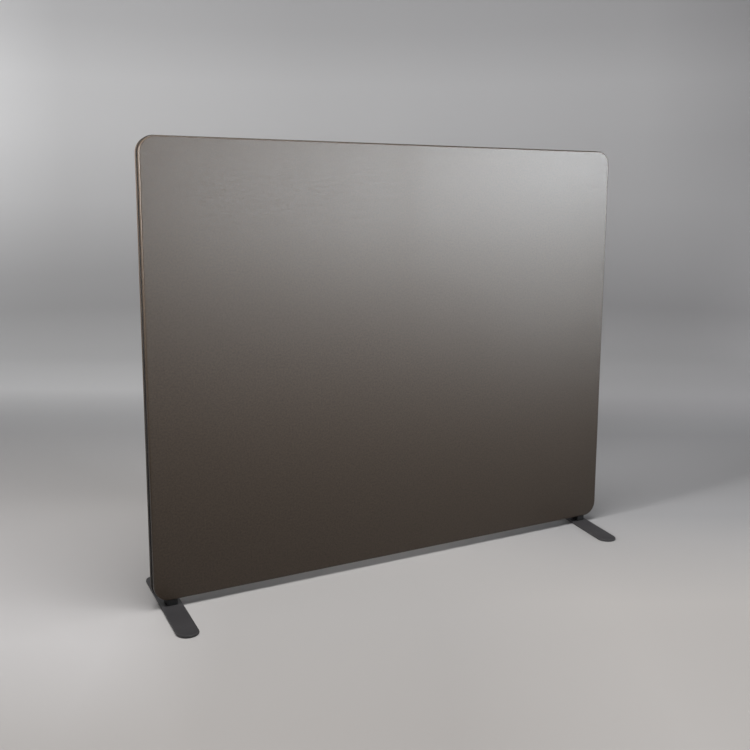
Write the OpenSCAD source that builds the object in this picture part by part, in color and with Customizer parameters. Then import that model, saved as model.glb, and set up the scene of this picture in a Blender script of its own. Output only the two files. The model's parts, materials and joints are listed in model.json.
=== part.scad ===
// Free-standing acoustic divider screen.
// A padded panel with two zipped cloth covers stands on two flat feet that swivel on pivot blocks.
// Origin: on the floor, under the middle of the panel. X runs along the panel, -Y is its front, Z is up.

/* [Panel] */
// Width of the panel over its covers
panel_w = 1800; // [1200:10:2400]
// Height of the panel over its covers
panel_h = 1400; // [900:10:1800]
// Thickness of the panel over both covers
panel_t = 40; // [38:1:60]
// Radius of the panel's four corners
corner_r = 50; // [35:1:90]
// Gap between the floor and the underside of the panel
floor_gap = 27; // [25:1:60]

/* [Covers] */
// Thickness of the cover cloth with its backing
cover_t = 1; // [0.6:0.1:1.6]
// Radius of the cover's edge, where the cloth turns from the face to the rim
edge_r = 4; // [2.5:0.5:7]
// Thickness of the wadding behind each cover
wadding_t = 4; // [2:0.5:5]

/* [Frame] */
// Width of the timber rails and stiles
bar_w = 45; // [35:1:70]
// Length of each leg of a plywood corner block
leg_l = 130; // [110:1:200]
// Diameter of the dowels between the corner blocks and the timber
dowel_d = 10; // [8:1:12]
// Length of the dowels
dowel_l = 60; // [40:1:80]
// Thickness of the shank of the frame screws
screw_d = 5; // [4:0.5:6]
// Length of the frame screws
screw_l = 80; // [65:1:100]
// Distance between the two frame screws at each end of the middle stile
screw_pitch = 24; // [16:1:28]

/* [Zip] */
// Width of the closed chain of coils
chain_w = 7; // [6:0.5:9]
// Height of the coils above their tape
chain_h = 3.4; // [2.8:0.1:4]
// Gap between the two coils, which the post of the slider passes through
coil_gap = 1.2; // [1:0.1:1.6]
// Thickness of the woven tape
tape_t = 0.6; // [0.4:0.1:0.8]
// Width of the tape from the middle of the zip to its edge
tape_w = 15; // [14.5:0.5:17]
// Depth of the groove in the frame's edge under the zip
groove_d = 2.5; // [2.3:0.1:4]
// Length of the slider
slider_l = 14; // [11:0.5:18]
// Length of the pull from its pivot to its tip
pull_l = 11.5; // [9:0.5:11.5]
// Width of the pull
pull_w = 6; // [5:0.5:8]

/* [Feet] */
// Length of a foot plate
foot_l = 515; // [300:5:600]
// Width of a foot plate
foot_w = 68; // [60:1:90]
// Thickness of a foot plate
plate_t = 6; // [5:0.5:7]
// Radius of the upper edge of a foot plate
plate_edge_r = 1.5; // [0.5:0.25:2.5]
// Thickness of the rubber pad under a foot plate
pad_t = 2; // [1:0.5:2.5]
// How far the pad lies inside the plate's outline
pad_inset = 2; // [1:0.5:6]
// Distance of the left pivot from the left end of the panel
left_foot_in = 58; // [45:1:100]
// Distance of the right pivot from the right end of the panel
right_foot_in = 70; // [45:1:100]
// How far the left foot is turned, with its front end towards the left
left_turn = 7.5; // [0:0.5:20]
// How far the right foot is turned, with its front end towards the left
right_turn = 13.8; // [0:0.1:20]

/* [Pivot blocks] */
// Width of a pivot block, along the panel
block_w = 34; // [30:1:50]
// Depth of a pivot block, across the panel
block_d = 37; // [33:1:38]
// Radius of the upright edges of a pivot block
block_edge_r = 3; // [1:0.5:6]
// Diameter of the pivot bolt
bolt_d = 8; // [6:0.5:8]
// Thickness of the friction washer
washer_t = 1; // [0.5:0.1:1.5]
// Diameter of the friction washer
washer_d = 30; // [22:1:32]
// Distance of the block screws from the middle of the panel's thickness
block_screw_y = 10.5; // [10:0.25:11]
// Length of the block screws under their heads
block_screw_l = 38; // [25:1:45]

/* [Hidden] */
$fn = 96;

// Overrun of a cut past the face that it opens
over = 1;

// Covers, wadding and frame, from the outside in
seat_d = cover_t + tape_t;
frame_t = panel_t - 2 * (cover_t + wadding_t);
frame_w = panel_w - 2 * seat_d;
frame_h = panel_h - 2 * seat_d;
frame_r = corner_r - seat_d;
core_clear = 0.3;
wood_clear = 0.05;
screw_head_d = 9;
screw_head_h = 3;
screw_key_af = 3;
screw_key_d = 1.8;

// Zip: the slider wraps the coils, and the covers stop beside it
slide_clear = 0.3;
flange_t = 1.2;
rim_clear = 0.5;
slider_w = chain_w + 2 * (slide_clear + flange_t);
zip_slot_w = slider_w + 2 * rim_clear;
plate_wall = 1.2;
post_w = 0.6;
post_l = 3;
chain_proud = chain_h - cover_t;
chain_round = 0.9;

// Lugs and bar of the slider, which carry the pull
bar_d = 1.2;
bar_clear = 0.06;
eye_r = 1.6;
eye_w = 4;
lug_t = 1;
lug_gap = 0.2;
lug_r = 1.4;
pull_t = 1.4;
pull_hole_d = 2.6;
pull_neck = 2.4;
bar_out = chain_proud + slide_clear + plate_wall + eye_r + slide_clear;

// Slider at rest beside the stop, next to the right pivot block
stop_l = 2;
stop_wall = 0.8;
stop_gap = 6;

// Feet and pivots, from the floor up
left_x = -panel_w / 2 + left_foot_in;
right_x = panel_w / 2 - right_foot_in;
plate_z = pad_t;
plate_top = plate_z + plate_t;
block_z = plate_top + washer_t;
block_h = floor_gap - block_z;
block_groove_clear = 0.6;
block_groove_d = chain_proud + block_groove_clear;
nut_af = 13;
nut_h = 6.8;
nut_clear = 0.15;
nut_z = floor_gap - block_groove_d - nut_h;
bolt_short = 2;
bolt_end = nut_z + nut_h - bolt_short;
bolt_head_d = 15.6;
bolt_key_af = 5;
bolt_key_d = 2.6;
run_clear = 0.08;
pad_hole_d = 22;
block_screw_hole_clear = 0.25;
block_head_d = 9;
block_head_h = 3.6;
block_head_clear = 0.3;
block_head_sink = 0.4;
block_key_af = 4;
block_key_d = 2.2;
block_head_z = block_z + block_head_sink + block_head_h;

stop_x = right_x - block_w / 2 - stop_gap;
slider_x = stop_x - stop_l / 2 - slide_clear - slider_l / 2;

// Rounded rectangle, centred
module rounded_rect(w, h, r) {
    square([w - 2 * r, h], center = true);
    square([w, h - 2 * r], center = true);
    for (sx = [-1, 1], sy = [-1, 1]) translate([sx * (w / 2 - r), sy * (h / 2 - r)]) circle(r);
}

// Sweeps a profile round a rounded rectangle: its x points outwards, its y along the panel's thickness
module around(w, h, r) {
    for (k = [0 : 3]) {
        reach = (k % 2 == 0) ? w / 2 : h / 2;
        run = (k % 2 == 0) ? h / 2 - r : w / 2 - r;
        rotate(90 * k) translate([reach, run, 0]) rotate([90, 0, 0]) linear_extrude(2 * run) children();
        rotate(90 * k) translate([reach - r, run, 0]) rotate_extrude(angle = 90) translate([r, 0]) children();
    }
}

// Lifts a piece that is drawn flat, facing up, into the upright panel
module stand_up() {
    translate([0, 0, floor_gap + panel_h / 2]) rotate([90, 0, 0]) children();
}

// Puts a piece at each pivot
module at_pivots() {
    for (x = [left_x, right_x]) translate([x, 0, 0]) children();
}

// Upright holes of the block screws through the bottom of the panel
module block_screw_holes(d) {
    at_pivots() for (s = [-1, 1]) translate([0, s * block_screw_y, block_head_z])
        cylinder(d = d, h = block_screw_l + over);
}

// Section of a cover: the rim beside the zip, and the edge where it turns to the face
module cover_section() {
    turn_z = panel_t / 2 - edge_r;
    translate([-cover_t, zip_slot_w / 2]) square([cover_t, turn_z - zip_slot_w / 2]);
    translate([-edge_r, turn_z]) intersection() {
        difference() {
            circle(edge_r);
            circle(edge_r - cover_t);
        }
        square(edge_r);
    }
}

module cover_shell() {
    around(panel_w, panel_h, corner_r) cover_section();
    translate([0, 0, panel_t / 2 - cover_t]) linear_extrude(cover_t)
        rounded_rect(panel_w - 2 * edge_r, panel_h - 2 * edge_r, corner_r - edge_r);
}

module front_cover() {
    color("dimgray") difference() {
        stand_up() cover_shell();
        block_screw_holes(screw_d + 2 * block_screw_hole_clear);
    }
}

module back_cover() {
    color("dimgray") difference() {
        stand_up() mirror([0, 0, 1]) cover_shell();
        block_screw_holes(screw_d + 2 * block_screw_hole_clear);
    }
}

// Sheet of wadding between the frame and the face of a cover
module wadding_sheet() {
    translate([0, 0, frame_t / 2]) linear_extrude(wadding_t)
        rounded_rect(panel_w - 2 * edge_r, panel_h - 2 * edge_r, corner_r - edge_r);
}

module front_wadding() {
    color("whitesmoke") stand_up() wadding_sheet();
}

module back_wadding() {
    color("whitesmoke") stand_up() mirror([0, 0, 1]) wadding_sheet();
}

// Groove round the frame's edge, which the lower plate of the slider runs in
module zip_groove() {
    around(frame_w, frame_h, frame_r)
        translate([-groove_d, -zip_slot_w / 2]) square([groove_d + over, zip_slot_w]);
}

// Dowels across the joints of one corner, which is the upper right one
module corner_dowel_pair(d, l) {
    x = frame_w / 2;
    y = frame_h / 2;
    translate([x - leg_l - l / 2, y - bar_w / 2, 0]) rotate([0, 90, 0]) cylinder(d = d, h = l);
    translate([x - bar_w / 2, y - leg_l - l / 2, 0]) rotate([-90, 0, 0]) cylinder(d = d, h = l);
}

module dowel_set(clear) {
    for (mx = [0, 1], my = [0, 1]) mirror([mx, 0, 0]) mirror([0, my, 0])
        corner_dowel_pair(dowel_d + 2 * clear, dowel_l + 2 * clear);
}

// Countersunk screws through a rail into the middle stile
module stile_screws(clear) {
    head_y = frame_h / 2 - groove_d;
    for (my = [0, 1], s = [-1, 1]) mirror([0, my, 0]) translate([s * screw_pitch / 2, head_y, 0])
        rotate([90, 0, 0]) {
            cylinder(d = screw_d + 2 * clear, h = screw_l + clear);
            cylinder(d1 = screw_head_d + 2 * clear, d2 = screw_d + 2 * clear, h = screw_head_h);
        }
}

// Rail along the top of the frame, lying flat; the bottom one is its mirror image
module rail() {
    difference() {
        translate([-frame_w / 2 + leg_l, frame_h / 2 - bar_w, -frame_t / 2])
            cube([frame_w - 2 * leg_l, bar_w, frame_t]);
        zip_groove();
        dowel_set(wood_clear);
        stile_screws(wood_clear);
    }
}

// Stile along the right end of the frame, lying flat; the left one is its mirror image
module stile() {
    difference() {
        translate([frame_w / 2 - bar_w, -frame_h / 2 + leg_l, -frame_t / 2])
            cube([bar_w, frame_h - 2 * leg_l, frame_t]);
        zip_groove();
        dowel_set(wood_clear);
    }
}

module top_rail() {
    color("burlywood") stand_up() rail();
}

module bottom_rail() {
    color("burlywood") stand_up() mirror([0, 1, 0]) rail();
}

module right_stile() {
    color("burlywood") stand_up() stile();
}

module left_stile() {
    color("burlywood") stand_up() mirror([1, 0, 0]) stile();
}

module mid_stile() {
    color("burlywood") stand_up() difference() {
        translate([-bar_w / 2, -frame_h / 2 + bar_w, -frame_t / 2]) cube([bar_w, frame_h - 2 * bar_w, frame_t]);
        stile_screws(wood_clear);
    }
}

// L-shaped plywood block in the upper right corner of the frame, with the frame's outer curve
module corner_block() {
    x = frame_w / 2;
    y = frame_h / 2;
    difference() {
        translate([0, 0, -frame_t / 2]) linear_extrude(frame_t) intersection() {
            rounded_rect(frame_w, frame_h, frame_r);
            difference() {
                translate([x - leg_l, y - leg_l]) square(leg_l);
                translate([x - leg_l, y - leg_l]) square(leg_l - bar_w);
            }
        }
        zip_groove();
        dowel_set(wood_clear);
    }
}

module top_right_corner() {
    color("tan") stand_up() corner_block();
}

module top_left_corner() {
    color("tan") stand_up() mirror([1, 0, 0]) corner_block();
}

module bottom_right_corner() {
    color("tan") difference() {
        stand_up() mirror([0, 1, 0]) corner_block();
        block_screw_holes(screw_d + 2 * wood_clear);
    }
}

module bottom_left_corner() {
    color("tan") difference() {
        stand_up() mirror([0, 1, 0]) mirror([1, 0, 0]) corner_block();
        block_screw_holes(screw_d + 2 * wood_clear);
    }
}

// Sound-absorbing slab that fills the bay on the right of the middle stile
module core_slab() {
    bay_w = (frame_w - 3 * bar_w) / 2;
    bay_h = frame_h - 2 * bar_w;
    translate([bar_w / 2 + core_clear, -bay_h / 2 + core_clear, -frame_t / 2])
        cube([bay_w - 2 * core_clear, bay_h - 2 * core_clear, frame_t]);
}

module right_core() {
    color("slategray") stand_up() core_slab();
}

module left_core() {
    color("slategray") stand_up() mirror([1, 0, 0]) core_slab();
}

module corner_dowels() {
    color("wheat") stand_up() dowel_set(0);
}

// Hexagon sockets in the heads of the frame screws
module stile_screw_sockets() {
    head_y = frame_h / 2 - groove_d;
    for (my = [0, 1], s = [-1, 1]) mirror([0, my, 0])
        translate([s * screw_pitch / 2, head_y - screw_key_d, 0]) rotate([-90, 0, 0])
            linear_extrude(screw_key_d + over) hexagon(screw_key_af);
}

module frame_screws() {
    color("goldenrod") stand_up() difference() {
        stile_screws(0);
        stile_screw_sockets();
    }
}

// Section of one half of the zip: the coil stands on the tape, beside the gap in the middle
module zip_section() {
    coil_w = (chain_w - coil_gap) / 2;
    translate([-seat_d, coil_gap / 2]) square([tape_t, tape_w - coil_gap / 2]);
    translate([-cover_t, coil_gap / 2]) square([chain_h - chain_round, coil_w]);
    translate([-cover_t, coil_gap / 2]) square([chain_h, coil_w - chain_round]);
    translate([chain_proud - chain_round, coil_gap / 2 + coil_w - chain_round]) circle(chain_round);
}

module zip_half() {
    around(panel_w, panel_h, corner_r) zip_section();
}

module front_zip_half() {
    color("black") difference() {
        stand_up() zip_half();
        block_screw_holes(screw_d + 2 * block_screw_hole_clear);
    }
}

module back_zip_half() {
    color("black") difference() {
        stand_up() mirror([0, 0, 1]) zip_half();
        block_screw_holes(screw_d + 2 * block_screw_hole_clear);
    }
}

// Puts a piece that is drawn round the zip's middle, facing up, on the underside of the panel
module under_panel(x) {
    translate([x, 0, floor_gap]) mirror([0, 0, 1]) children();
}

// Staple over the coils, which stops the slider
module zip_stop() {
    leg_z = -cover_t;
    top_z = chain_proud + slide_clear;
    inner_w = chain_w + 2 * slide_clear;
    color("dimgray") under_panel(stop_x) difference() {
        translate([-stop_l / 2, -inner_w / 2 - stop_wall, leg_z])
            cube([stop_l, inner_w + 2 * stop_wall, top_z + stop_wall - leg_z]);
        translate([-stop_l / 2 - over, -inner_w / 2, leg_z - over])
            cube([stop_l + 2 * over, inner_w, top_z - leg_z + over]);
    }
}

// Outline of a plate of the slider, round at its leading end
module slider_outline() {
    nose_r = slider_w / 2;
    translate([nose_r - slider_l / 2, 0]) circle(nose_r);
    translate([nose_r - slider_l / 2, -slider_w / 2]) square([slider_l - nose_r, slider_w]);
}

// Slider: an upper plate with flanges beside the coils, a lower plate under the tape, and the post between
module zip_slider() {
    upper_z = chain_proud + slide_clear;
    lower_top = -seat_d - slide_clear;
    flange_z = -cover_t + slide_clear;
    channel_w = chain_w + 2 * slide_clear;
    color("silver") under_panel(slider_x) {
        difference() {
            translate([0, 0, flange_z]) linear_extrude(upper_z + plate_wall - flange_z) slider_outline();
            translate([-slider_l / 2 - over, -channel_w / 2, flange_z - over])
                cube([slider_l + 2 * over, channel_w, upper_z - flange_z + over]);
        }
        translate([0, 0, lower_top - plate_wall]) linear_extrude(plate_wall) slider_outline();
        translate([-post_l / 2, -post_w / 2, lower_top]) cube([post_l, post_w, upper_z - lower_top]);
        lug_y = eye_w / 2 + lug_gap;
        for (s = [0, 1]) mirror([0, s, 0]) {
            translate([0, lug_y, bar_out]) rotate([-90, 0, 0]) cylinder(r = lug_r, h = lug_t);
            translate([-lug_r, lug_y, upper_z]) cube([2 * lug_r, lug_t, bar_out - upper_z]);
        }
        translate([0, -lug_y, bar_out]) rotate([-90, 0, 0]) cylinder(d = bar_d, h = 2 * lug_y);
    }
}

// Pull tab, hanging from the bar by its eye
module zip_pull() {
    tip_r = pull_w / 2;
    color("dimgray") under_panel(slider_x) translate([0, 0, bar_out]) difference() {
        union() {
            rotate([90, 0, 0]) translate([0, 0, -eye_w / 2]) cylinder(r = eye_r, h = eye_w);
            translate([-pull_t / 2, -eye_w / 2, 0]) cube([pull_t, eye_w, pull_neck + over]);
            translate([pull_t / 2, 0, 0]) rotate([0, -90, 0]) linear_extrude(pull_t) {
                translate([pull_neck, -pull_w / 2]) square([pull_l - tip_r - pull_neck, pull_w]);
                translate([pull_l - tip_r, 0]) circle(tip_r);
            }
        }
        rotate([90, 0, 0]) translate([0, 0, -eye_w / 2 - over])
            cylinder(d = bar_d + 2 * bar_clear, h = eye_w + 2 * over);
        translate([-pull_t / 2 - over, 0, pull_l - tip_r]) rotate([0, 90, 0])
            cylinder(d = pull_hole_d, h = pull_t + 2 * over);
    }
}

// Hexagon across its flats, with two flats towards the front and back
module hexagon(af) {
    circle(d = af / cos(30), $fn = 6);
}

// Block that the panel stands on: the zip runs through its upper groove, the nut lies in its pocket
module pivot_block() {
    hex_floor = nut_z - block_z;
    difference() {
        linear_extrude(block_h) rounded_rect(block_w, block_d, block_edge_r);
        translate([-block_w / 2 - over, -zip_slot_w / 2, block_h - block_groove_d])
            cube([block_w + 2 * over, zip_slot_w, block_groove_d + over]);
        translate([0, 0, hex_floor]) linear_extrude(block_h) hexagon(nut_af + 2 * nut_clear);
        translate([0, 0, -over]) cylinder(d = bolt_d + 2 * nut_clear, h = block_h);
        for (s = [-1, 1]) translate([0, s * block_screw_y, -over]) {
            cylinder(d = screw_d + 2 * block_screw_hole_clear, h = block_h + 2 * over);
            cylinder(d = block_head_d + 2 * block_head_clear, h = block_head_z - block_z + over);
        }
    }
}

module left_pivot_block() {
    color("#1c1c1c") translate([left_x, 0, block_z]) pivot_block();
}

module right_pivot_block() {
    color("#1c1c1c") translate([right_x, 0, block_z]) pivot_block();
}

// Screws that hold the pivot blocks to the corner blocks, with their heads sunk in the blocks
module block_screws() {
    color("gray") at_pivots() for (s = [-1, 1]) translate([0, s * block_screw_y, block_head_z]) {
        cylinder(d = screw_d, h = block_screw_l);
        translate([0, 0, -block_head_h]) difference() {
            cylinder(d = block_head_d, h = block_head_h);
            translate([0, 0, -over]) linear_extrude(block_key_d + over) hexagon(block_key_af);
        }
    }
}

// Countersunk bolt from under a foot plate, with a hexagon socket in its head
module pivot_bolt() {
    head_h = (bolt_head_d - bolt_d) / 2;
    translate([0, 0, plate_z]) difference() {
        union() {
            cylinder(d = bolt_d, h = bolt_end - plate_z);
            cylinder(d1 = bolt_head_d, d2 = bolt_d, h = head_h);
        }
        translate([0, 0, -over]) linear_extrude(bolt_key_d + over) hexagon(bolt_key_af);
    }
}

module left_pivot_bolt() {
    color("gray") translate([left_x, 0, 0]) pivot_bolt();
}

module right_pivot_bolt() {
    color("gray") translate([right_x, 0, 0]) pivot_bolt();
}

module pivot_nuts() {
    color("gray") at_pivots() translate([0, 0, nut_z]) difference() {
        linear_extrude(nut_h) hexagon(nut_af);
        translate([0, 0, -over]) cylinder(d = bolt_d + 2 * run_clear, h = nut_h + 2 * over);
    }
}

// Washer that the foot turns against
module friction_washer() {
    translate([0, 0, plate_top]) difference() {
        cylinder(d = washer_d, h = washer_t);
        translate([0, 0, -over]) cylinder(d = bolt_d + 2 * nut_clear, h = washer_t + 2 * over);
    }
}

module left_friction_washer() {
    color("ivory") translate([left_x, 0, 0]) friction_washer();
}

module right_friction_washer() {
    color("ivory") translate([right_x, 0, 0]) friction_washer();
}

// Half of the section of a foot plate, from its middle line out to its rounded upper edge
module plate_half_section() {
    half = foot_w / 2;
    square([half, plate_t - plate_edge_r]);
    square([half - plate_edge_r, plate_t]);
    translate([half - plate_edge_r, plate_t - plate_edge_r]) circle(plate_edge_r);
}

// Steel plate with round ends and a countersunk hole for the pivot bolt in its middle
module foot_plate() {
    run = foot_l / 2 - foot_w / 2;
    head_h = (bolt_head_d - bolt_d) / 2;
    translate([0, 0, plate_z]) difference() {
        union() {
            for (s = [0, 1]) mirror([0, s, 0]) translate([0, run, 0])
                rotate_extrude(angle = 180) plate_half_section();
            for (s = [0, 1]) mirror([s, 0, 0]) translate([0, run, 0])
                rotate([90, 0, 0]) linear_extrude(2 * run) plate_half_section();
        }
        translate([0, 0, -over]) cylinder(d = bolt_d + 2 * run_clear, h = plate_t + 2 * over);
        cylinder(d1 = bolt_head_d + 4 * run_clear, d2 = bolt_d + 2 * run_clear, h = head_h + run_clear);
    }
}

// Rubber pad over the whole underside, open round the head of the bolt
module foot_pad() {
    pad_w = foot_w - 2 * pad_inset;
    run = foot_l / 2 - foot_w / 2;
    difference() {
        linear_extrude(pad_t) {
            square([pad_w, 2 * run], center = true);
            for (s = [-1, 1]) translate([0, s * run]) circle(d = pad_w);
        }
        translate([0, 0, -over]) cylinder(d = pad_hole_d, h = pad_t + 2 * over);
    }
}

// Turns a foot about its pivot, with its front end towards the left
module left_foot_place() {
    translate([left_x, 0, 0]) rotate(-left_turn) children();
}

module right_foot_place() {
    translate([right_x, 0, 0]) rotate(-right_turn) children();
}

module left_foot_plate() {
    color("#2a2a2c") left_foot_place() foot_plate();
}

module right_foot_plate() {
    color("#2a2a2c") right_foot_place() foot_plate();
}

module left_foot_pad() {
    color("#101010") left_foot_place() foot_pad();
}

module right_foot_pad() {
    color("#101010") right_foot_place() foot_pad();
}

front_cover();
back_cover();
front_wadding();
back_wadding();
left_core();
right_core();
top_rail();
bottom_rail();
left_stile();
right_stile();
mid_stile();
top_left_corner();
top_right_corner();
bottom_left_corner();
bottom_right_corner();
corner_dowels();
frame_screws();
front_zip_half();
back_zip_half();
zip_stop();
zip_slider();
zip_pull();
left_pivot_block();
right_pivot_block();
block_screws();
left_pivot_bolt();
right_pivot_bolt();
pivot_nuts();
left_friction_washer();
right_friction_washer();
left_foot_plate();
right_foot_plate();
left_foot_pad();
right_foot_pad();
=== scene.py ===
"""Looks of a free-standing acoustic divider screen.

It is a padded cloth panel with a zip round its edge, on two feet that swivel. The panel's pieces are modelled lying
flat with their face up, round the middle of the panel, and then stood up.
"""
import json
import math

import bmesh
import bpy
from mathutils import Matrix, Vector


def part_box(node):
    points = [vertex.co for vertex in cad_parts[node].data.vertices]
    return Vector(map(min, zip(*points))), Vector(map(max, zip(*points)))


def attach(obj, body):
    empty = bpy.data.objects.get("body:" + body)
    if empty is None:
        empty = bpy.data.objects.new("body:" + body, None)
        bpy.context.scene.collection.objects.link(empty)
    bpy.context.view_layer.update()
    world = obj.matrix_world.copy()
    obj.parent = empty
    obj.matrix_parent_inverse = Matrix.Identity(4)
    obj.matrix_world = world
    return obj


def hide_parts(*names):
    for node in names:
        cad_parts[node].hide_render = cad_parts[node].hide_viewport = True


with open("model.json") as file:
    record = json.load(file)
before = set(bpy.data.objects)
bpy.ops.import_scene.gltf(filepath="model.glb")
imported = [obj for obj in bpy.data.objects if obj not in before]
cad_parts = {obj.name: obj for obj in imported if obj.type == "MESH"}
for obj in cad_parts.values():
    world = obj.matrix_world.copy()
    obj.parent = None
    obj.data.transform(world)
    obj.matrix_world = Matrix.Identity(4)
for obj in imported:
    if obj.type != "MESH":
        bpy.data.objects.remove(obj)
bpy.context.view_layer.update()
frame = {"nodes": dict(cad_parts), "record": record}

MM = 0.001

# Panel, measured on the frame
cover_low, cover_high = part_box("front_cover")
PANEL_W = cover_high.x - cover_low.x
PANEL_H = cover_high.z - cover_low.z
PANEL_MID = (cover_high.z + cover_low.z) / 2
HALF_T = -cover_low.y
SLOT_HALF = -cover_high.y
LEFT_X = (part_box("left_pivot_bolt")[0].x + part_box("left_pivot_bolt")[1].x) / 2
RIGHT_X = (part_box("right_pivot_bolt")[0].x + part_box("right_pivot_bolt")[1].x) / 2
STILE_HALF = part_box("mid_stile")[1].x
BAR_W = 2 * STILE_HALF

# Picking parts of a mesh
SAME = 1e-5  # equal heights differ by less
SHARP = 1.0  # a sharp edge turns by more, in radians
FACING = 0.99  # a face that looks one way has more of its normal along it

# Covers
CORNER_R = 50 * MM
CORNER_STEPS = 20
EDGE_R = 4 * MM
EDGE_STEPS = 6
EDGE_HOLD = 1.5 * MM
CLOTH_T = 0.9 * MM
HEM_STITCH_UP = 3.2 * MM
HEM_SINK = 0.16 * MM
HEM_SINK_HALF_W = 0.6 * MM
HEM_ROUND = 0.35 * MM
GRID_STEP = 50 * MM
BAY_DIP = 0.12 * MM
BAY_SOFT = 260 * MM  # from a bay's edge to its full dip
BAY_MARGIN = BAR_W + 6 * MM
SCREW_HOLE_R = 2.75 * MM
SCREW_Y = 10.5 * MM

# Stitches that hold a cover to its zip tape
STITCH_PITCH = 4.2 * MM
STITCH_L = 3.5 * MM
STITCH_TOP = 0.66  # share of its length that is straight
STITCH_END = 0.17  # share of its length at each end
STITCH_DIVE = 2.2  # thread radii that an end goes down
STITCH_TAPER = 0.6
STITCH_SUNK = 0.3  # thread radii that the straight part lies under the cloth
THREAD_R = 0.24 * MM

# Zip: heights count outwards from the panel's outline
TOOTH_PITCH = 2.0 * MM
TOOTH_W = 1.5 * MM
HEAD_W = 0.62  # share of TOOTH_W
HEAD_H = 0.8  # share of the coil's height
COIL_IN = 0.34 * MM
COIL_TOP = 2.4 * MM
COIL_FOOT = -1.0 * MM
TAPE_OUT = 15 * MM
TAPE_TOP = -1.0 * MM
TAPE_T = 0.6 * MM

# Padding
WADDING_ROUND = 1.6 * MM
SLAB_CRUSH = 3 * MM

# Studio
WALL_R = 6.4
COVE_R = 1.2
COVE_STEPS = 10
WALL_TOP = 4.0
NEUTRAL = (1, 1, 1)
COOL = (0.9, 0.955, 1.0)
BANK_SIZE = (1.25, 0.8)
BANK_AIM_UP = 1.55
AMBIENT = 0.18

# Camera: its place, how it is turned, and the level direction in which it looks
CAMERA_AT = (-1.8282, -2.8730, 1.2422)
TILT_DOWN = 9.76
TURN_RIGHT = 30.96
ROLL = 0.19
FOCAL_PX = 1008.4
PICTURE_PX = 750
AWAY = (0.51, 0.86)


# Modelling by hand

def deselect():
    """Leaves nothing selected, in object mode."""
    if bpy.context.mode != "OBJECT":
        bpy.ops.object.mode_set(mode="OBJECT")
    bpy.ops.object.select_all(action="DESELECT")


def take(piece):
    """Makes a piece the only one selected, and the active one."""
    deselect()
    piece.select_set(True)
    bpy.context.view_layer.objects.active = piece


def named(name):
    """Names the piece that an operator has just added, and its mesh."""
    piece = bpy.context.object
    piece.name = name
    piece.data.name = name
    return piece


def fix_place(piece):
    """Puts a piece's place, turn and size into its mesh."""
    take(piece)
    bpy.ops.object.transform_apply(location=True, rotation=True, scale=True)


def edit(piece):
    """Opens a piece for editing with everything selected."""
    take(piece)
    bpy.ops.object.mode_set(mode="EDIT")
    bpy.ops.mesh.select_all(action="SELECT")


def choose(mode, test):
    """In edit mode, selects the vertices, edges or faces that pass a test."""
    bpy.ops.mesh.select_mode(type=mode)
    bpy.ops.mesh.select_all(action="DESELECT")
    piece = bpy.context.edit_object
    mesh = bmesh.from_edit_mesh(piece.data)
    parts = {"VERT": mesh.verts, "EDGE": mesh.edges, "FACE": mesh.faces}[mode]
    for part in parts:
        part.select = test(part)
    mesh.select_flush_mode()
    bmesh.update_edit_mesh(piece.data)


def modify(piece, kind, **settings):
    """Adds a modifier with its settings and applies it."""
    take(piece)
    modifier = piece.modifiers.new(kind.title(), kind)
    for setting, value in settings.items():
        setattr(modifier, setting, value)
    bpy.ops.object.modifier_apply(modifier=modifier.name)


def smooth(piece, degrees):
    """Shades a piece smooth, except over edges that turn by more than an angle."""
    take(piece)
    bpy.ops.object.shade_smooth_by_angle(angle=math.radians(degrees))


def remove(piece):
    """Takes a piece out of the scene."""
    deselect()
    bpy.data.objects.remove(piece)


def copy_of(piece, name):
    """A copy with its own mesh."""
    twin = piece.copy()
    twin.data = piece.data.copy()
    twin.name = name
    twin.data.name = name
    bpy.context.collection.objects.link(twin)
    return twin


def stand_up(piece):
    """Stands a piece that lies flat with its face up in the panel, with its face to the front."""
    piece.rotation_euler = (math.radians(90), 0, 0)
    piece.location = (0, 0, PANEL_MID)
    fix_place(piece)
    return piece


def turned_to_back(piece, name):
    """A copy of a piece of the panel's front, turned half round to the back."""
    twin = copy_of(piece, name)
    twin.rotation_euler = (0, 0, math.pi)
    fix_place(twin)
    return twin


def finish_with(piece, body, finish):
    """Gives a piece its material and its body."""
    piece.data.materials.clear()
    piece.data.materials.append(finish)
    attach(piece, body)
    return piece


# Finishes

class Wire:
    """A socket of a finish. Arithmetic on it adds Math nodes."""

    def __init__(self, finish, socket):
        self.finish = finish
        self.socket = socket

    def maths(self, operation, first, second=0.0):
        return self.finish.node("ShaderNodeMath", {"operation": operation}, {0: first, 1: second})

    def __add__(self, other):
        return self.maths("ADD", self, other)

    def __radd__(self, other):
        return self.maths("ADD", other, self)

    def __sub__(self, other):
        return self.maths("SUBTRACT", self, other)

    def __mul__(self, other):
        return self.maths("MULTIPLY", self, other)

    def sine(self):
        return self.maths("SINE", self)

    def size(self):
        """The number without its sign."""
        return self.maths("ABSOLUTE", self)


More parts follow.
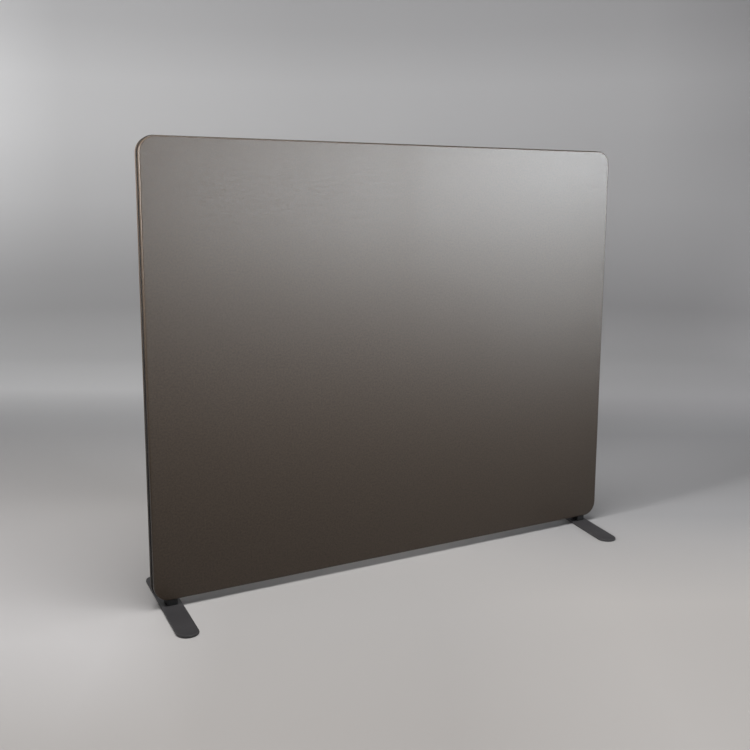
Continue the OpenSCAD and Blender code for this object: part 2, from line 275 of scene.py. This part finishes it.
class Finish:
    """A procedural material. Its shader's fixed numbers are given by name."""

    def __init__(self, name, **numbers):
        self.material = bpy.data.materials.new(name)
        self.material.use_nodes = True
        self.tree = self.material.node_tree
        self.shader = self.tree.nodes["Principled BSDF"]
        for socket, number in numbers.items():
            self.shader.inputs[socket.replace("_", " ")].default_value = number

    def node(self, kind, settings, inputs, output=0):
        """Adds a node, sets it up, joins its inputs and gives back one of its outputs."""
        made = self.tree.nodes.new(kind)
        for setting, value in settings.items():
            if setting == "stops":
                self.set_stops(made.color_ramp, value)
            else:
                setattr(made, setting, value)
        for socket, value in inputs.items():
            self.join(value, made.inputs[socket])
        return Wire(self, made.outputs[output])

    def set_stops(self, ramp, stops):
        """Gives a ramp its stops, each a position and a colour."""
        while len(ramp.elements) < len(stops):
            ramp.elements.new(0.5)
        for element, (position, colour) in zip(ramp.elements, stops):
            element.position = position
            element.color = colour

    def join(self, value, socket):
        """Links a wire to a socket, or sets the socket to a plain value."""
        if isinstance(value, Wire):
            self.tree.links.new(value.socket, socket)
        else:
            socket.default_value = value

    def set(self, **values):
        """Joins values to the shader's sockets."""
        for socket, value in values.items():
            self.join(value, self.shader.inputs[socket.replace("_", " ")])
        return self.material

    def place(self):
        """Where a point of the piece is, in metres."""
        return self.node("ShaderNodeTexCoord", {}, {}, "Object")

    def along(self):
        """The three coordinates of a point, apart."""
        split = self.node("ShaderNodeSeparateXYZ", {}, {0: self.place()}).socket.node
        return [Wire(self, split.outputs[axis]) for axis in "XYZ"]

    def point(self, x, y, z):
        """A point from its three coordinates."""
        return self.node("ShaderNodeCombineXYZ", {}, {0: x, 1: y, 2: z})

    def noise(self, at, scale, detail=2.0, roughness=0.5):
        """Soft random patches from 0 to 1, at scale to the metre."""
        inputs = {"Vector": at, "Scale": scale, "Detail": detail, "Roughness": roughness}
        return self.node("ShaderNodeTexNoise", {}, inputs)

    def spread(self, value, low, high):
        """Stretches the range from low to high to the range from 0 to 1, and cuts what lies outside."""
        inputs = {"Value": value, "From Min": low, "From Max": high}
        return self.node("ShaderNodeMapRange", {"clamp": True}, inputs)

    def ramp(self, value, stops):
        """A level that follows stops, each a position and a level."""
        stops = [(position, grey(level)) for position, level in stops]
        return self.node("ShaderNodeValToRGB", {"stops": stops}, {0: value})

    def mix(self, share, first, second):
        """A colour between two colours."""
        settings = {"data_type": "RGBA"}
        return self.node("ShaderNodeMix", settings, {0: share, 6: first, 7: second}, 2)

    def bump(self, height, depth, strength):
        """A normal from a height from 0 to 1, where 1 is depth metres high."""
        inputs = {"Height": height, "Distance": depth, "Strength": strength}
        return self.node("ShaderNodeBump", {}, inputs)


def grey(level):
    return (level, level, level, 1.0)


def rgb(red, green, blue):
    """A colour as a screen shows it, from 0 to 255 each, turned into the shader's own scale."""
    def linear(level):
        share = level / 255
        return share / 12.92 if share <= 0.04045 else ((share + 0.055) / 1.055) ** 2.4
    return (linear(red), linear(green), linear(blue), 1.0)


def cloth_finish():
    """Fine plain weave of dark brown yarns with a satin shine, which differ a little from thread to thread."""
    thread = 0.9 * MM
    flattened = 0.045
    cloth = Finish("satin_cloth", IOR=1.45)
    x, y, z = cloth.along()
    # The cloth lies firmer over the middle stile, and shines a little less there
    stile = cloth.spread(x.size(), 0.085, 0.015)
    across = x + y
    upward = z + y
    turn = math.pi / thread
    weave = (across * turn).sine() * (upward * turn).sine()
    # Streaks along single threads, both ways
    weft = cloth.noise(cloth.point(across * flattened, upward, 0.0), 950)
    warp = cloth.noise(cloth.point(across, upward * flattened, 0.5), 950)
    fleck = cloth.noise(cloth.point(across, upward, 2.0), 170, 3.0, 0.62)
    speckle = cloth.spread(fleck, 0.3, 0.7)
    cloudy = cloth.noise(cloth.point(across, upward, 4.0), 9, 3.0)
    tone = cloth.spread(weft * 0.3 + warp * 0.3 + fleck * 0.9, 0.6, 0.9)
    yarn = cloth.mix(tone, rgb(49, 39, 28), rgb(66, 54, 43))
    colour = cloth.mix(cloudy * 0.22, yarn, rgb(51, 41, 31))
    height = weave * 0.5 + 0.5 + (fleck - 0.5) * 0.8
    return cloth.set(
        Base_Color=colour,
        Roughness=0.42 + (speckle - 0.5) * 0.26 + stile * 0.012,
        Normal=cloth.bump(height, 0.12 * MM, 0.12),
    )


def thread_finish():
    """Black twisted sewing thread."""
    thread = Finish("stitching", Roughness=0.55)
    strand = 0.5 * MM
    x, y, z = thread.along()
    twist = ((x + z + y) * (math.pi / strand)).sine().size()
    colour = thread.mix(twist, rgb(20, 20, 21), rgb(38, 37, 37))
    return thread.set(Base_Color=colour, Normal=thread.bump(twist, 0.05 * MM, 0.6))


def coil_finish():
    """Black nylon of the zip's coil."""
    nylon = Finish("zip_coil")
    patchy = nylon.noise(nylon.place(), 60)
    colour = nylon.mix(patchy, rgb(12, 12, 13), rgb(26, 26, 28))
    return nylon.set(Base_Color=colour, Roughness=0.32 + patchy * 0.16)


def tape_finish():
    """Black herringbone tape."""
    tape = Finish("zip_tape", Roughness=0.8)
    rib_w = 0.7 * MM
    x, y, z = tape.along()
    rib = ((x + z + y.size()) * (math.pi / rib_w)).sine().size()
    fibre = tape.noise(tape.place(), 900)
    colour = tape.mix(rib * 0.6 + fibre * 0.4, rgb(14, 14, 15), rgb(34, 34, 36))
    return tape.set(Base_Color=colour, Normal=tape.bump(rib, 0.12 * MM, 0.8))


def enamel_finish():
    """Gloss black enamel on the slider, its pull and the stop, a little patchy."""
    enamel = Finish("black_enamel", Coat_Roughness=0.12)
    patchy = enamel.noise(enamel.place(), 420, 3.0)
    colour = enamel.mix(patchy, rgb(22, 22, 23), rgb(34, 34, 36))
    return enamel.set(Base_Color=colour, Roughness=0.24 + patchy * 0.16, Coat_Weight=0.3)


def powder_coat(name, dark, light, roughness):
    """Matt powder coat on steel, with its fine orange peel and a little dust."""
    coat = Finish(name)
    grain = coat.noise(coat.place(), 1500)
    peel = coat.noise(coat.place(), 420)
    dust = coat.spread(coat.noise(coat.place(), 14, 4.0, 0.65), 0.35, 0.8)
    colour = coat.mix(grain * 0.5 + dust * 0.5, dark, light)
    return coat.set(
        Base_Color=colour,
        Roughness=roughness - 0.06 + peel * 0.12,
        Normal=coat.bump(peel * 0.6 + grain * 0.4, 0.06 * MM, 0.5),
    )


def rubber_finish():
    """Matt black rubber with a fine pebble."""
    rubber = Finish("pad_rubber", Roughness=0.85)
    pebble = rubber.noise(rubber.place(), 1100)
    dusty = rubber.noise(rubber.place(), 25, 3.0)
    colour = rubber.mix(dusty, rgb(18, 18, 18), rgb(34, 33, 32))
    return rubber.set(Base_Color=colour, Normal=rubber.bump(pebble, 0.1 * MM, 0.6))


def plated_steel(name, tint):
    """Zinc plate, slightly mottled, with faint turned marks."""
    zinc = Finish(name, Metallic=1.0)
    mottle = zinc.noise(zinc.place(), 300, 3.0, 0.6)
    fine = zinc.noise(zinc.place(), 2600)
    colour = zinc.mix(mottle, tint, grey(0.72))
    return zinc.set(
        Base_Color=colour,
        Roughness=0.24 + mottle * 0.2,
        Normal=zinc.bump(fine, 0.03 * MM, 0.5),
    )


def nylon_finish():
    """Natural nylon of the friction washers, rubbed where it turns."""
    nylon = Finish("natural_nylon")
    rubbed = nylon.noise(nylon.place(), 180, 3.0)
    colour = nylon.mix(rubbed, rgb(214, 208, 190), rgb(186, 178, 158))
    return nylon.set(Base_Color=colour, Roughness=0.36 + rubbed * 0.2)


def pine_finish(name, axis):
    """Planed pine, with its grain along one axis."""
    pine = Finish(name, Roughness=0.6)
    stretch = [1.0, 1.0, 1.0]
    stretch[axis] = 0.045
    x, y, z = pine.along()
    at = pine.point(x * stretch[0], y * stretch[1], z * stretch[2])
    warped = pine.noise(at, 28, 3.0, 0.55)
    rings = (warped * 58.0).sine() * 0.5 + 0.5
    pores = pine.noise(at, 900)
    tone = pine.spread(rings * 0.75 + pores * 0.25, 0.15, 0.95)
    colour = pine.mix(tone, rgb(222, 187, 138), rgb(186, 137, 84))
    return pine.set(Base_Color=colour, Normal=pine.bump(pores, 0.1 * MM, 0.5))


def plywood_finish():
    """Birch plywood, with its plies showing across the panel's thickness."""
    ply = Finish("birch_plywood", Roughness=0.62)
    x, y, z = ply.along()
    ply_t = 1.5 * MM
    layer = (y * (math.pi / ply_t)).sine()
    band = ply.spread(layer, -0.25, 0.25)
    grain = ply.noise(ply.point(x * 0.08, y, z), 320, 3.0)
    pale = ply.mix(grain, rgb(219, 190, 148), rgb(198, 165, 120))
    dark = ply.mix(grain, rgb(170, 130, 88), rgb(146, 106, 68))
    return ply.set(Base_Color=ply.mix(band, pale, dark), Normal=ply.bump(grain, 0.08 * MM, 0.5))


def beech_finish():
    """Beech of the dowels."""
    beech = Finish("beech", Roughness=0.55)
    x, y, z = beech.along()
    fleck = beech.noise(beech.point(x, y * 6.0, z), 420, 3.0)
    colour = beech.mix(fleck, rgb(222, 190, 146), rgb(196, 156, 110))
    return beech.set(Base_Color=colour, Normal=beech.bump(fleck, 0.15 * MM, 0.6))


def wadding_finish():
    """White polyester wadding with loose fibres."""
    wadding = Finish("white_wadding", Roughness=0.95, Sheen_Weight=0.4)
    fibre = wadding.noise(wadding.place(), 330, 4.0, 0.7)
    tuft = wadding.noise(wadding.place(), 45, 3.0)
    colour = wadding.mix(tuft * 0.6 + fibre * 0.4, rgb(236, 236, 232), rgb(206, 206, 200))
    return wadding.set(Base_Color=colour, Normal=wadding.bump(fibre * 0.6 + tuft * 0.4, 1.2 * MM, 0.6))


def felt_finish():
    """Pressed recycled felt of the sound-absorbing slabs, flecked with other yarns."""
    felt = Finish("pressed_felt", Roughness=0.95, Sheen_Weight=0.3)
    fibre = felt.noise(felt.place(), 420, 4.0, 0.7)
    fleck = felt.spread(felt.noise(felt.place(), 160, 3.0, 0.7), 0.58, 0.66)
    base = felt.mix(fibre, rgb(88, 93, 98), rgb(128, 133, 136))
    colour = felt.mix(fleck * 0.6, base, rgb(60, 76, 110))
    return felt.set(Base_Color=colour, Normal=felt.bump(fibre, 0.8 * MM, 0.6))


# Flat outlines of the panel

def outline_face(name, width, height, radius, up):
    """A face with round corners, lying flat at a height."""
    deselect()
    bpy.ops.mesh.primitive_plane_add(size=1, location=(0, 0, up))
    piece = named(name)
    piece.scale = (width, height, 1)
    fix_place(piece)
    edit(piece)
    bpy.ops.mesh.bevel(offset=radius, offset_type="OFFSET", segments=CORNER_STEPS, affect="VERTICES")
    return piece


def draw_up(profile):
    """Draws the selected face up through the points of a section, each (distance in, height)."""
    (was_in, was_up) = profile[0]
    for (now_in, now_up) in profile[1:]:
        step_in = now_in - was_in
        bpy.ops.mesh.inset(thickness=abs(step_in), depth=now_up - was_up, use_outset=step_in < 0)
        was_in, was_up = now_in, now_up


def quarter_turn(radius, from_up, steps):
    """Section of an edge that turns from upright to flat."""
    angles = [math.pi / 2 * k / steps for k in range(1, steps + 1)]
    return [(radius * (1 - math.cos(a)), from_up + radius * math.sin(a)) for a in angles]


def cut_grid(up, half_w, half_h):
    """Cuts the face at a height into a grid, so that it can be shaped."""
    for axis, half in ((0, half_w), (1, half_h)):
        count = round(2 * half / GRID_STEP)
        for k in range(1, count):
            choose("FACE", lambda face: face.normal.z > FACING and abs(face.calc_center_median().z - up) < SAME)
            place = [0, 0, 0]
            place[axis] = -half + 2 * half * k / count
            normal = [0, 0, 0]
            normal[axis] = 1
            bpy.ops.mesh.bisect(plane_co=place, plane_no=normal)


def path_round(name, inside):
    """A closed path round the panel, a little inside its outline."""
    face = outline_face(name, PANEL_W - 2 * inside, PANEL_H - 2 * inside, CORNER_R - inside, 0)
    bpy.ops.mesh.delete(type="ONLY_FACE")
    take(face)
    bpy.ops.object.convert(target="CURVE")
    path = bpy.context.object
    path.data.dimensions = "2D"
    return path


def path_length(inside):
    """How long that path is."""
    straight = 2 * (PANEL_W + PANEL_H - 4 * CORNER_R)
    corner = 2 * (CORNER_R - inside) * CORNER_STEPS * 4 * math.sin(math.pi / 4 / CORNER_STEPS)
    return straight + corner


def run_round(piece, pitch, inside):
    """Repeats a piece all the way round the panel, at about a pitch."""
    length = path_length(inside)
    count = round(length / pitch)
    path = path_round(piece.name + "_path", inside)
    modify(piece, "ARRAY", fit_type="FIXED_COUNT", count=count, use_relative_offset=False,
           use_constant_offset=True, constant_offset_displace=(length / count, 0, 0))
    modify(piece, "CURVE", object=path, deform_axis="POS_X")
    remove(path)


# Covers

def cover():
    """Front cover: a turned hem with its stitch line, the rim, the rounded edge and the face."""
    rim_top = HALF_T - EDGE_R
    stitch = SLOT_HALF + HEM_STITCH_UP
    section = [
        (0, SLOT_HALF),
        (0, stitch - HEM_SINK_HALF_W),
        (HEM_SINK, stitch),
        (0, stitch + HEM_SINK_HALF_W),
        (0, rim_top),
    ]
    piece = outline_face("front_cover_cloth", PANEL_W, PANEL_H, CORNER_R, SLOT_HALF)
    # A narrow flat ring inside the rounded edge keeps the shading of the edge off the face
    draw_up(section + quarter_turn(EDGE_R, rim_top, EDGE_STEPS) + [(EDGE_R + EDGE_HOLD, HALF_T)])
    cut_grid(HALF_T, PANEL_W / 2 - EDGE_R, PANEL_H / 2 - EDGE_R)
    deselect()
    shape_face(piece)
    modify(piece, "SOLIDIFY", thickness=CLOTH_T, offset=-1.0, use_even_offset=True, use_rim=True)
    round_hem(piece)
    smooth(piece, 50)
    return stand_up(piece)


def shape_face(piece):
    """Lets the cloth dip a little into the bays between the rails and stiles."""
    def eased(distance):
        share = min(1.0, max(0.0, distance / BAY_SOFT))
        return share * share * (3 - 2 * share)
    for vertex in piece.data.vertices:
        if vertex.co.z < HALF_T - SAME:
            continue
        x, y = abs(vertex.co.x), abs(vertex.co.y)
        in_bay_x = min(x - STILE_HALF, PANEL_W / 2 - BAY_MARGIN - x)
        in_bay_y = PANEL_H / 2 - BAY_MARGIN - y
        vertex.co.z -= BAY_DIP * eased(in_bay_x) * eased(in_bay_y)


def round_hem(piece):
    """Rounds the folded edge of the cloth beside the zip."""
    edit(piece)
    choose("EDGE", lambda edge: all(abs(v.co.z - SLOT_HALF) < SAME for v in edge.verts)
           and len(edge.link_faces) == 2 and edge.calc_face_angle() > SHARP)
    bpy.ops.mesh.bevel(offset=HEM_ROUND, segments=3, affect="EDGES")
    deselect()


def cut_screw_holes(piece, side):
    """Cuts the holes of the block screws through the bottom rim of a cover."""
    for x in (LEFT_X, RIGHT_X):
        deselect()
        bpy.ops.mesh.primitive_cylinder_add(vertices=24, radius=SCREW_HOLE_R, depth=12 * MM,
                                            location=(x, side * SCREW_Y, cover_low.z))
        cutter = named("hole_cutter")
        modify(piece, "BOOLEAN", object=cutter, operation="DIFFERENCE", solver="EXACT")
        remove(cutter)


def stitch_row():
    """Lockstitches along the hem of the front cover."""
    inside = HEM_SINK + THREAD_R * STITCH_SUNK
    deselect()
    bpy.ops.mesh.primitive_cylinder_add(vertices=6, radius=THREAD_R, depth=STITCH_L * STITCH_TOP,
                                        end_fill_type="NGON", rotation=(0, math.radians(90), 0),
                                        location=(STITCH_PITCH / 2, 0, SLOT_HALF + HEM_STITCH_UP))
    piece = named("front_stitching")
    fix_place(piece)
    edit(piece)
    for end in (-1, 1):
        choose("FACE", lambda face: face.normal.x * end > FACING)
        bpy.ops.mesh.extrude_region_move(TRANSFORM_OT_translate={
            "value": (end * STITCH_L * STITCH_END, -STITCH_DIVE * THREAD_R, 0)})
        bpy.ops.transform.resize(value=(STITCH_TAPER, STITCH_TAPER, STITCH_TAPER))
    deselect()
    run_round(piece, STITCH_PITCH, inside)
    smooth(piece, 60)
    return stand_up(piece)


# Zip

def zip_half():
    """Front half of the zip's coil, all the way round the panel: loops that end in a round head at the middle."""
    # Rings of a loop, from its head outwards: distance from the ring before, width (1 is TOOTH_W), foot and top
    rings = [
        (0.25 * MM, 1.0, -0.4 * MM, COIL_TOP - 0.15 * MM),
        (0.85 * MM, 0.95, COIL_FOOT, COIL_TOP),
        (0.75 * MM, 0.72, COIL_FOOT, COIL_TOP - 0.12 * MM),
        (0.9 * MM, 0.72, COIL_FOOT, 1.7 * MM),
        (0.41 * MM, 0.5, COIL_FOOT, 0.7 * MM),
    ]
    deselect()
    bpy.ops.mesh.primitive_circle_add(vertices=6, radius=TOOTH_W / 2, fill_type="NGON",
                                      rotation=(0, 0, math.radians(30)),
                                      location=(TOOTH_PITCH / 2, (COIL_TOP + COIL_FOOT) / 2, COIL_IN))
    piece = named("front_zip_coil")
    piece.scale = (HEAD_W, (COIL_TOP - COIL_FOOT) * HEAD_H / TOOTH_W, 1)
    fix_place(piece)
    edit(piece)
    was_width, was_high = HEAD_W, (COIL_TOP - COIL_FOOT) * HEAD_H
    was_mid = (COIL_TOP + COIL_FOOT) / 2
    for step, width, low, high in rings:
        mid = (low + high) / 2
        bpy.ops.mesh.extrude_region_move(TRANSFORM_OT_translate={"value": (0, mid - was_mid, step)})
        bpy.ops.transform.resize(value=(width / was_width, (high - low) / was_high, 1))
        was_width, was_high, was_mid = width, high - low, mid
    bpy.ops.mesh.select_all(action="SELECT")
    bpy.ops.mesh.normals_make_consistent(inside=False)
    deselect()
    run_round(piece, TOOTH_PITCH, 0)
    smooth(piece, 60)
    return stand_up(piece)


def zip_tape():
    """Woven tape under the hem, which carries the coil."""
    inside = -TAPE_TOP
    piece = outline_face("front_zip_tape", PANEL_W - 2 * inside, PANEL_H - 2 * inside, CORNER_R - inside, COIL_IN)
    draw_up([(0, COIL_IN), (0, TAPE_OUT)])
    bpy.ops.mesh.delete(type="FACE")
    deselect()
    modify(piece, "SOLIDIFY", thickness=TAPE_T, offset=-1.0, use_even_offset=True, use_rim=True)
    smooth(piece, 50)
    return stand_up(piece)


# Inside of the panel

def wadding():
    """Front sheet of wadding, with soft edges."""
    low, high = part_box("front_wadding")
    bottom = -high.y
    piece = outline_face("front_wadding_sheet", high.x - low.x, high.z - low.z, CORNER_R - EDGE_R, bottom)
    rim_top = -low.y - WADDING_ROUND
    draw_up([(0, bottom), (0, rim_top)] + quarter_turn(WADDING_ROUND, rim_top, 3))
    choose("EDGE", lambda edge: edge.is_boundary)
    bpy.ops.mesh.edge_face_add()
    deselect()
    smooth(piece, 50)
    return stand_up(piece)


def core_slab(node):
    """A sound-absorbing slab, with its cut edges a little crushed."""
    low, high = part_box(node)
    deselect()
    bpy.ops.mesh.primitive_cube_add(size=1, location=(low + high) / 2)
    piece = named(node + "_slab")
    piece.scale = high - low
    fix_place(piece)
    modify(piece, "BEVEL", width=SLAB_CRUSH, segments=3, limit_method="ANGLE")
    smooth(piece, 40)
    return piece


# Studio

def studio_floor():
    """Pale floor that turns up into a grey wall."""
    deselect()
    floor_r = WALL_R - COVE_R
    bpy.ops.mesh.primitive_circle_add(vertices=96, radius=floor_r, fill_type="NGON", location=(0, 0, 0))
    floor = named("studio_floor")
    edit(floor)
    choose("EDGE", lambda edge: True)
    for k in range(COVE_STEPS):
        before = math.pi / 2 * k / COVE_STEPS
        after = math.pi / 2 * (k + 1) / COVE_STEPS
        rise = COVE_R * (math.cos(before) - math.cos(after))
        wider = (floor_r + COVE_R * math.sin(after)) / (floor_r + COVE_R * math.sin(before))
        bpy.ops.mesh.extrude_edges_move(TRANSFORM_OT_translate={"value": (0, 0, rise)})
        bpy.ops.transform.resize(value=(wider, wider, 1))
    bpy.ops.mesh.extrude_edges_move(TRANSFORM_OT_translate={"value": (0, 0, WALL_TOP - COVE_R)})
    deselect()
    smooth(floor, 60)
    floor.data.materials.append(paper_finish())


def paper_finish():
    """Pale seamless paper, with painted light and shade on its ground. Only the camera sees the painted glow on its
    wall, which stands in for the light that falls on it.
    """
    paper = Finish("studio_paper", Roughness=0.75, Emission_Strength=1.0)
    x, y, z = paper.along()
    # Metres from the panel's middle, away from the camera and to its right
    behind = x * AWAY[0] + y * AWAY[1]
    sideways = x * AWAY[1] - y * AWAY[0]
    # The ground's colour holds painted light and shade: it is paler at the left and at the near right, where light
    # falls, and greyer at the far right, in painted shade
    left = paper.spread(sideways, -0.5, -0.85) * paper.spread(sideways + behind * 0.8, -0.5, -1.5)
    left = left * paper.spread(behind, -1.35, -0.7)
    right = paper.spread(sideways, 0.1, 0.65)
    near = paper.mix(paper.spread(behind, -1.2, -0.5), rgb(184, 180, 177), rgb(190, 187, 185))
    near = paper.mix(left, near, rgb(209, 206, 205))
    near_right = paper.mix(paper.spread(behind, -0.4, 0.5), rgb(200, 196, 193), rgb(164, 163, 164))
    far_right = paper.mix(paper.spread(behind, 1.9, 3.0), rgb(134, 134, 137), rgb(168, 167, 170))
    far = paper.mix(right, rgb(176, 175, 176), far_right)
    ground = paper.mix(paper.spread(behind, 0.6, 2.3), paper.mix(right, near, near_right), far)
    colour = paper.mix(paper.spread(z, 0.0, WALL_TOP), ground, rgb(176, 175, 180))
    # The wall's glow is painted light: it changes up the wall and fades across it to the right
    upward = paper.ramp(paper.spread(z, 0.0, WALL_TOP), [
        (0.0, 0.27), (0.08, 0.23), (0.31, 0.37), (0.49, 0.42), (0.58, 0.43), (0.7, 0.37), (1.0, 0.34)])
    across = paper.ramp(paper.spread(sideways, -3.5, 3.5), [
        (0.0, 1.05), (0.1, 0.86), (0.4, 0.73), (0.66, 0.68), (0.84, 0.62), (0.98, 0.47)])
    uneven = 0.7 + (across - 0.7) * paper.spread(z, 0.1, 1.8)
    seen = paper.node("ShaderNodeLightPath", {}, {}, "Is Camera Ray")
    # A band of painted light lies along the foot of the wall, strongest at the left
    band = paper.ramp(paper.spread(behind, 1.5, 6.0), [
        (0.1, 0.0), (0.19, 0.03), (0.28, 0.08), (0.38, 0.15), (0.53, 0.11), (0.67, 0.07), (0.85, 0.06)])
    band = band * paper.spread(sideways, 2.7, -1.0) * paper.spread(z, 0.6, 0.0)
    glow = seen * (paper.spread(behind, 0.8, 4.2) * (upward * uneven * 1.37 - 0.11) + band)
    return paper.set(Base_Color=colour, Emission_Color=paper.mix(glow, grey(0.0), grey(1.0)))


def lamp(name, place, target, size, watts, colour, spread):
    """A soft area lamp that points at a target. A grid narrows its spread, in degrees."""
    data = bpy.data.lights.new(name, "AREA")
    data.shape = "RECTANGLE"
    data.size, data.size_y = size
    data.energy = watts
    data.color = colour
    data.spread = math.radians(spread)
    made = bpy.data.objects.new(name, data)
    bpy.context.collection.objects.link(made)
    made.location = place
    made.rotation_euler = (Vector(target) - Vector(place)).to_track_quat("-Z", "Y").to_euler()
    made.visible_camera = False


def lights():
    """Soft lamps round the screen, and a little light from all sides."""
    # A row of gridded banks, each aimed at the top of that part of the panel which mirrors it to the camera
    for name, place, aim_x, watts, spread in (
        ("bank_1", (0.58, -4.76, 1.45), -0.9, 2.25, 35),
        ("bank_2", (1.72, -4.48, 1.45), -0.45, 3.9, 35),
        ("bank_3", (2.75, -3.93, 1.45), 0.05, 5.1, 38),
        ("bank_4", (3.68, -3.09, 1.45), 0.8, 5.7, 44),
        ("bank_5", (3.68, -3.09, 2.15), 0.8, 5.2, 35),
    ):
        lamp(name, place, (aim_x, 0, BANK_AIM_UP), BANK_SIZE, watts, COOL, spread)
    lamp("low_side", (2.3, -1.9, 0.7), (0.75, 0, 0.35), (0.8, 0.5), 2.2, COOL, 70)
    lamp("ceiling", (-1.1, -1.0, 4.2), (-1.1, -1.0, 0), (4.2, 1.9), 156, NEUTRAL, 180)
    lamp("edge", (-3.6, -0.25, 2.0), (-0.9, 0, 1.45), (0.9, 0.9), 14, NEUTRAL, 30)
    lamp("back_bank", (0.2, 4.4, 1.8), (0.1, 0, 1.1), (4.2, 1.2), 2, NEUTRAL, 60)
    lamp("back_soft", (0, 2.5, 1.9), (0, 0, 0.9), (0.7, 0.6), 3.4, NEUTRAL, 34)
    world = bpy.data.worlds.new("studio")
    world.use_nodes = True
    background = world.node_tree.nodes["Background"]
    background.inputs["Color"].default_value = grey(1.0)
    background.inputs["Strength"].default_value = AMBIENT
    bpy.context.scene.world = world


def camera():
    """The camera of the photograph, whose picture is square."""
    data = bpy.data.cameras.new("camera")
    data.lens = data.sensor_width * FOCAL_PX / PICTURE_PX
    made = bpy.data.objects.new("camera", data)
    bpy.context.collection.objects.link(made)
    turned = Matrix.Identity(4)
    for degrees, axis in ((-TURN_RIGHT, "Z"), (90 - TILT_DOWN, "X"), (ROLL, "Z")):
        turned = turned @ Matrix.Rotation(math.radians(degrees), 4, axis)
    made.matrix_world = Matrix.Translation(CAMERA_AT) @ turned
    bpy.context.scene.camera = made


# The making

camera()

cloth = cloth_finish()
thread = thread_finish()
coil_black = coil_finish()
tape_black = tape_finish()

front_cloth = cover()
back_cloth = turned_to_back(front_cloth, "back_cover_cloth")
for piece, side, node in ((front_cloth, -1, "front_cover"), (back_cloth, 1, "back_cover")):
    cut_screw_holes(piece, side)
    smooth(piece, 50)
    finish_with(piece, "panel", cloth)
    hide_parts(node)

front_stitching = stitch_row()
back_stitching = turned_to_back(front_stitching, "back_stitching")
for piece in (front_stitching, back_stitching):
    finish_with(piece, "panel", thread)

front_coil = zip_half()
back_coil = turned_to_back(front_coil, "back_zip_coil")
for piece, node in ((front_coil, "front_zip_half"), (back_coil, "back_zip_half")):
    finish_with(piece, "panel", coil_black)
    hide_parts(node)

front_tape = zip_tape()
back_tape = turned_to_back(front_tape, "back_zip_tape")
for piece in (front_tape, back_tape):
    finish_with(piece, "panel", tape_black)

white = wadding_finish()
front_pad = wadding()
back_pad = turned_to_back(front_pad, "back_wadding_sheet")
for piece, node in ((front_pad, "front_wadding"), (back_pad, "back_wadding")):
    finish_with(piece, "panel", white)
    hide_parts(node)

felt = felt_finish()
for node in ("left_core", "right_core"):
    piece = finish_with(core_slab(node), "panel", felt)
    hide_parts(node)

coats = {
    "timber": pine_finish("pine_along", 0),
    "plywood": plywood_finish(),
    "dowel": beech_finish(),
    "screw": plated_steel("yellow_zinc", rgb(196, 176, 120)),
    "bolt": plated_steel("bright_zinc", rgb(176, 178, 182)),
    "zip_metal": enamel_finish(),
    "block": powder_coat("block_coat", rgb(7, 7, 7), rgb(14, 14, 14), 0.65),
    "foot_plate": powder_coat("foot_coat", rgb(54, 53, 55), rgb(70, 68, 69), 0.5),
    "foot_pad": rubber_finish(),
    "washer": nylon_finish(),
}
upright_pine = pine_finish("pine_upright", 2)
slots = {row["node"]: row["material_slot"] for row in frame["record"]["subparts"]}
for node, piece in frame["nodes"].items():
    finish = coats.get(slots[node])
    if node.endswith("stile"):
        finish = upright_pine
    if finish:
        piece.data.materials.clear()
        piece.data.materials.append(finish)

studio_floor()
lights()
bpy.context.scene.view_settings.view_transform = "Standard"

bpy.context.view_layer.update()
